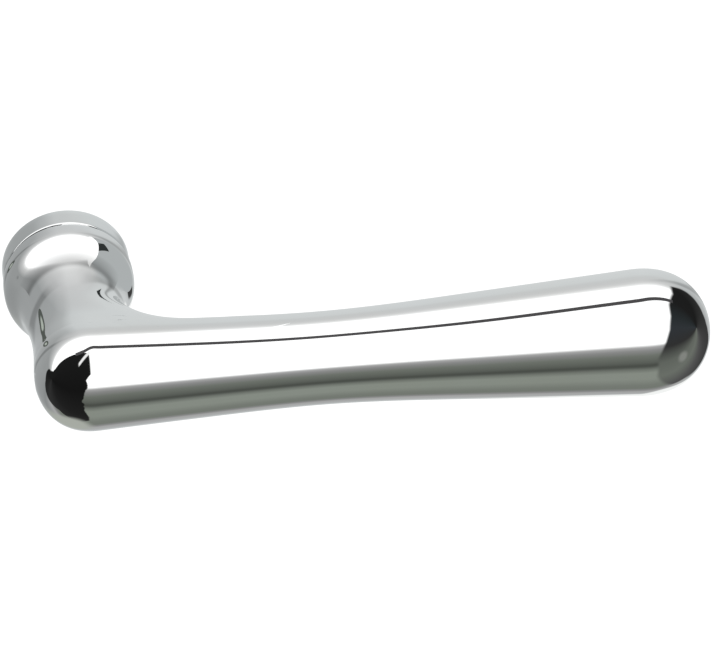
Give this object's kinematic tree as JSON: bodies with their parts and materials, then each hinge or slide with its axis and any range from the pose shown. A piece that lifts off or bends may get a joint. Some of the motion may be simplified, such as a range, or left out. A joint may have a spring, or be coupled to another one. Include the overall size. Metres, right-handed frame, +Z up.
{
  "type": "door lever handle",
  "caption": "Chrome door lever with a thick waisted grip on a flared hollow neck, turning in a slim sprung round rose with a square spindle socket.",
  "frame": {"origin": "centre of the rose's back face, on the spindle axis, in the plane of the door", "axes": "+X along the grip to its free end, -Y out of the door towards the user, +Z up"},
  "size_m": [0.1452, 0.0593, 0.028],
  "materials": {
    "lever_chrome": "mirror-polished chrome plating on cast brass",
    "ring_chrome": "mirror-polished chrome plating",
    "insert_brass": "machined, thin nickel flash",
    "cast_zinc": "die-cast zinc, as cast",
    "pin_steel": "ground steel",
    "spring_steel": "drawn spring wire",
    "black_steel": "black oxide, oiled",
    "nylon": "natural nylon",
    "black_rubber": "soft black rubber"
  },
  "bodies": {
    "rose": {"rose_base": "cast_zinc", "rose_ring": "ring_chrome", "cover_o_ring": "black_rubber", "bearing_bush": "nylon", "thrust_washer": "nylon", "rear_washer": "pin_steel", "wave_washer": "spring_steel", "return_spring": "spring_steel", "backing_gasket": "black_rubber"},
    "lever": {"lever_handle": "lever_chrome", "neck_insert": "insert_brass", "grub_screw": "black_steel", "stop_pin": "pin_steel", "retaining_ring": "black_steel"}
  },
  "joints": [
    {"name": "lever_turn", "type": "hinge", "parent": "rose", "child": "lever", "pos_m": [0, 0, 0], "axis": [0, 1, 0], "range_deg": [0, 45], "stiffness_Nm_per_rad": 0.56, "springref_deg": -54.43, "deforming": ["return_spring"]}
  ]
}
